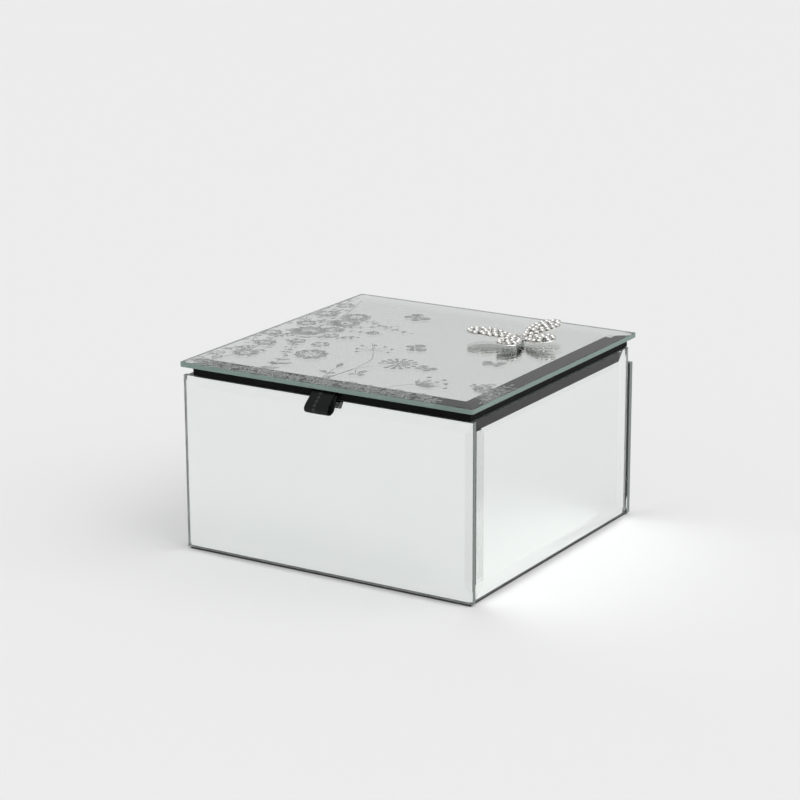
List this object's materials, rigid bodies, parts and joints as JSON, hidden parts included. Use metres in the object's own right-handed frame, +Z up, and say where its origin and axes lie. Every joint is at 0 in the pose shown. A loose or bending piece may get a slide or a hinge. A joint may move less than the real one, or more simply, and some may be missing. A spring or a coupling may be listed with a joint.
{
  "type": "vanity trinket box",
  "caption": "Square mirrored trinket box with a hinged glass lid that carries a floral glitter print, a jewelled butterfly and a black ribbon pull tab.",
  "frame": {"origin": "middle of the flat face the box rests on", "axes": "+Z up; the front, with the pull tab, faces -Y; +X is to the right as seen from the front"},
  "size_m": [0.131, 0.1347, 0.0821],
  "materials": {
    "mirror_glass": "silvered clear glass with wide polished bevels; edges and steeply seen bevels look grey-green",
    "black_fabric": "matt black book cloth wrapped tightly over board",
    "black_velvet": "short-pile black velvet",
    "black_felt": "thin pressed black felt",
    "black_satin": "black satin ribbon, soft sheen across the weave",
    "brass": "polished brass, lightly worn",
    "steel": "plated steel",
    "silver_plate": "bright silver-plated casting set with small clear stones"
  },
  "bodies": {
    "case": {"base_felt": "black_felt", "base_board": "black_fabric", "front_board": "black_fabric", "back_board": "black_fabric", "left_board": "black_fabric", "right_board": "black_fabric", "front_mirror": "mirror_glass", "back_mirror": "mirror_glass", "left_mirror": "mirror_glass", "right_mirror": "mirror_glass", "front_lining": "black_velvet", "back_lining": "black_velvet", "left_lining": "black_velvet", "right_lining": "black_velvet", "floor_pad": "black_velvet", "hinge_left_case_leaf": "brass", "hinge_left_pin": "steel", "hinge_left_case_screw_1": "steel", "hinge_left_case_screw_2": "steel", "hinge_right_case_leaf": "brass", "hinge_right_pin": "steel", "hinge_right_case_screw_1": "steel", "hinge_right_case_screw_2": "steel"},
    "lid": {"lid_mirror": "mirror_glass", "lid_board": "black_fabric", "lid_lining": "black_velvet", "pull_tab": "black_satin", "butterfly": "silver_plate", "hinge_left_lid_leaf": "brass", "hinge_left_lid_screw_1": "steel", "hinge_left_lid_screw_2": "steel", "hinge_right_lid_leaf": "brass", "hinge_right_lid_screw_1": "steel", "hinge_right_lid_screw_2": "steel"}
  },
  "joints": [
    {"name": "lid_hinge", "type": "hinge", "parent": "case", "child": "lid", "pos_m": [0, 0.06345, 0.07115], "axis": [-1, 0, 0], "range_deg": [0, 105]}
  ]
}
